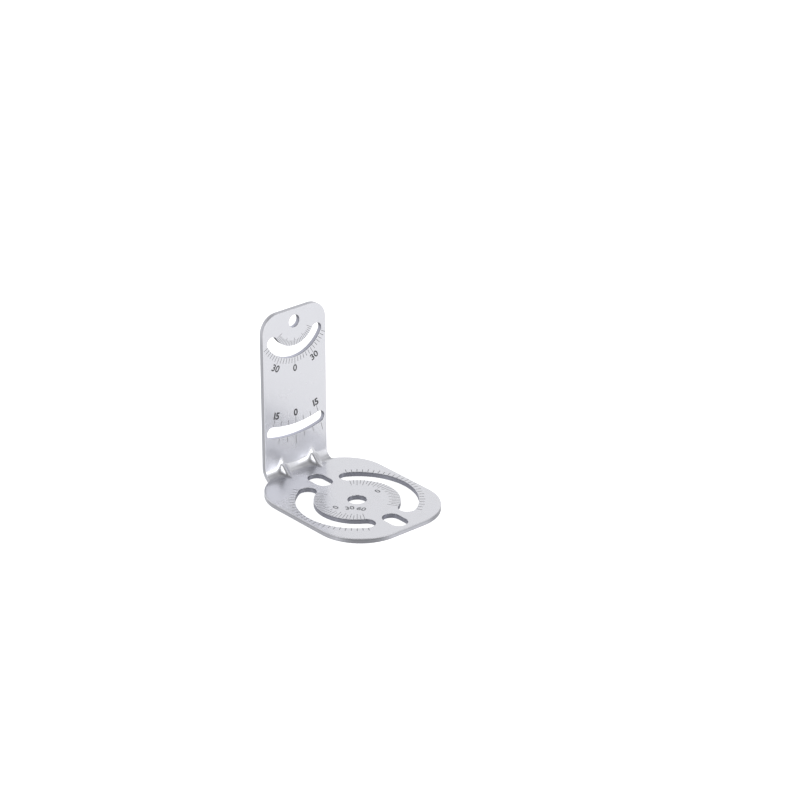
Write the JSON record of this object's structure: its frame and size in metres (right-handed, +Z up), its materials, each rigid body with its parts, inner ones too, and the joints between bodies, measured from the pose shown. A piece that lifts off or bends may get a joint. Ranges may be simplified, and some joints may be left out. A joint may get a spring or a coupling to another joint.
{
  "type": "mounting bracket",
  "caption": "Folded sheet-metal angle bracket: a round-cornered base with curved slots, and an upright with a pivot hole and tilt slots, stiffened by darts across the fold.",
  "frame": {"origin": "centre of the base's round hole, on the underside of the base", "axes": "+Z up, along the base's round hole; the upright stands at the +Y end and its front face looks along -Y; +X to the right as seen from the front"},
  "size_m": [0.0466, 0.0605, 0.061],
  "materials": {
    "steel": "satin"
  },
  "bodies": {
    "root": {"bracket": "steel"}
  },
  "joints": []
}
